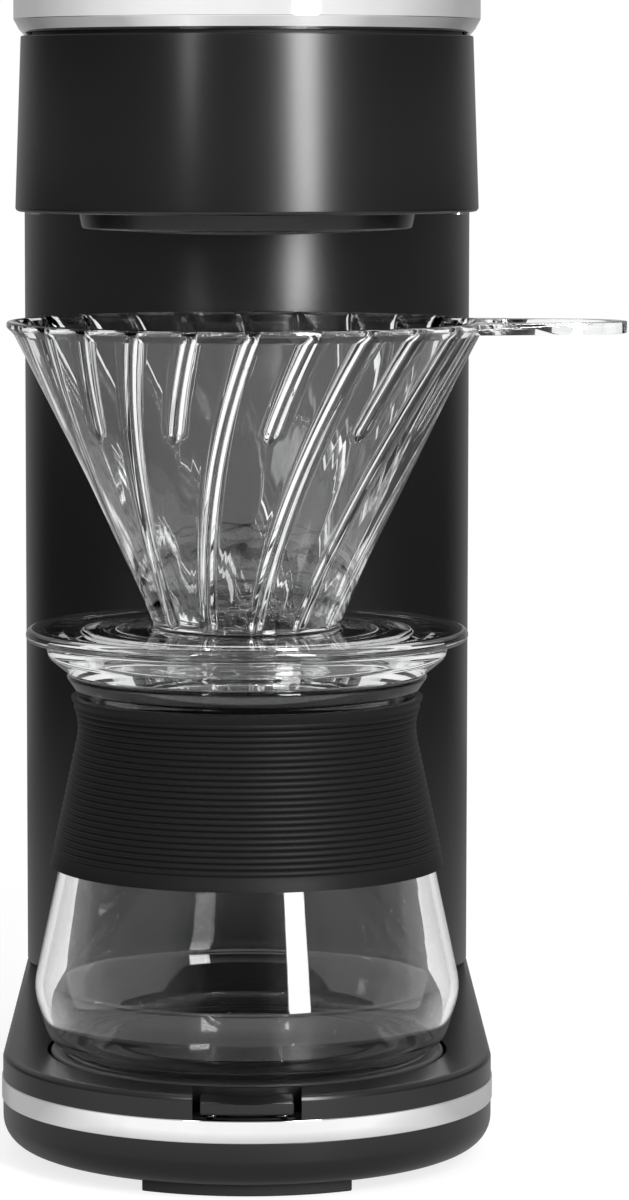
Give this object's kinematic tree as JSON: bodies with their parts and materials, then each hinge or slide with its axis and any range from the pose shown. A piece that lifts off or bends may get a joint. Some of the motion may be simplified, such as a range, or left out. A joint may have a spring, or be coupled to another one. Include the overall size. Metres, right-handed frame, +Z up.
{
  "type": "pour-over coffee brewer",
  "caption": "Single-column electric pour-over coffee brewer: head with shower and hinged bright lid, clear ribbed cone dripper, glass server in a ribbed sleeve, warming base with push button.",
  "frame": {"origin": "on the brewing axis, at the underside of the front foot (table level)", "axes": "+Z up; +Y away from the user, towards the column; +X to the user's right, towards the dripper's handle"},
  "size_m": [0.1553, 0.2699, 0.286],
  "materials": {
    "black_plastic": "satin black ABS with a fine moulded grain",
    "dark_plastic": "dark moulded plastic",
    "white_plastic": "natural moulded plastic",
    "chrome": "bright chrome plating",
    "foot_rubber": "matte black rubber",
    "silicone_black": "matte black silicone",
    "silicone_clear": "translucent silicone hose",
    "plate_coat": "dark non-stick coating",
    "aluminium": "die-cast aluminium",
    "steel": "plain steel",
    "wire": "insulated wire",
    "server_glass": "clear heat-proof glass",
    "clear_resin": "clear heat-proof resin, polished",
    "tank_resin": "smoky clear tank resin"
  },
  "bodies": {
    "brewer": {"base_top_shell": "black_plastic", "base_band": "chrome", "base_lower_shell": "black_plastic", "front_foot": "foot_rubber", "rear_feet": "foot_rubber", "base_screws": "steel", "hot_plate": "plate_coat", "hot_plate_seal": "silicone_black", "heater_body": "aluminium", "heater_water_tube": "aluminium", "heater_element": "steel", "heater_clamp": "steel", "heater_screws": "steel", "thermostat": "steel", "thermal_fuse": "steel", "button_guide": "dark_plastic", "button_springs": "steel", "power_switch": "dark_plastic", "column_shell": "black_plastic", "column_screws": "steel", "neck_screws": "steel", "cord_gland": "foot_rubber", "water_tank": "tank_resin", "tank_seal": "silicone_clear", "tank_valve": "white_plastic", "valve_ball": "steel", "inlet_hose": "silicone_clear", "outlet_hose": "silicone_clear", "riser_tube": "steel", "hose_clips": "steel", "head_shell": "black_plastic", "head_floor": "black_plastic", "head_screws": "steel", "head_deck": "dark_plastic", "shower_housing": "black_plastic", "spray_plate": "dark_plastic", "hinge_bracket": "dark_plastic", "hinge_pin": "steel", "terminal_block": "white_plastic", "wiring": "wire"},
    "lid": {"lid_skin": "chrome", "lid_liner": "dark_plastic", "lid_hinge_arm": "dark_plastic"},
    "button": {"power_button": "black_plastic"},
    "server": {"server_glass": "server_glass", "server_sleeve": "silicone_black"},
    "dripper": {"dripper": "clear_resin"}
  },
  "joints": [
    {"name": "lid_hinge", "type": "hinge", "parent": "brewer", "child": "lid", "pos_m": [0, 0.1995, 0.277], "axis": [-1, 0, 0], "range_deg": [0, 85]},
    {"name": "button_push", "type": "slide", "parent": "brewer", "child": "button", "axis": [0, 0, -1], "range_m": [0, 0.0012], "stiffness_N_per_m": 1500, "deforming": ["button_springs"]},
    {"name": "server_slide", "type": "slide", "parent": "brewer", "child": "server", "axis": [0, -0.9999, 0.015], "range_m": [0, 0.13]},
    {"name": "dripper_lift", "type": "slide", "parent": "server", "child": "dripper", "axis": [0, 0, 1], "range_m": [0, 0.015]}
  ]
}
